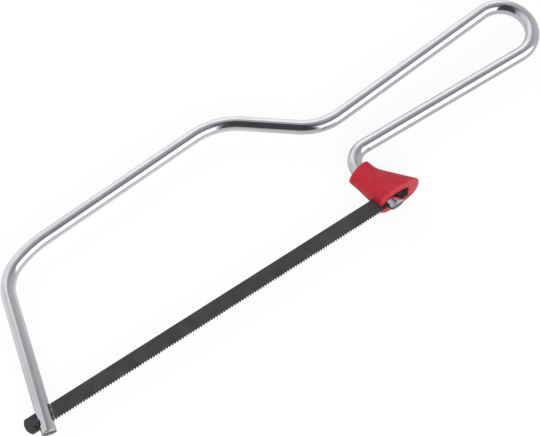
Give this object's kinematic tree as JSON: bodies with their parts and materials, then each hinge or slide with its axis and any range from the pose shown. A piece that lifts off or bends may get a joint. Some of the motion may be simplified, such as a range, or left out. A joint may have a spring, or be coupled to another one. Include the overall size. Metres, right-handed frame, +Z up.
{
  "type": "mini hacksaw",
  "caption": "Small hand saw whose bright steel rod is bent into frame and looped handle, holding a fine-toothed pin-ended blade, with a flared red plastic cap on the rear end.",
  "frame": {"origin": "centre of the bottom of the bounding box, with the saw lying flat", "axes": "+X along the blade from its front end to the handle, +Y from the teeth to the spine, +Z up and square to the plane of the bent rod"},
  "size_m": [0.2366, 0.068, 0.0165],
  "materials": {
    "plated_rod": "bright plated spring steel",
    "blackened_blade": "blackened tool steel",
    "pin_steel": "blackened steel",
    "red_plastic": "satin moulded"
  },
  "bodies": {
    "frame": {"frame": "plated_rod", "end_cap": "red_plastic"},
    "blade": {"blade": "blackened_blade", "front_pin": "pin_steel", "rear_pin": "pin_steel"}
  },
  "joints": [
    {"name": "blade_release", "type": "slide", "parent": "frame", "child": "blade", "axis": [0, -1, 0], "range_m": [0, 0.012], "deforming": ["frame"]}
  ]
}
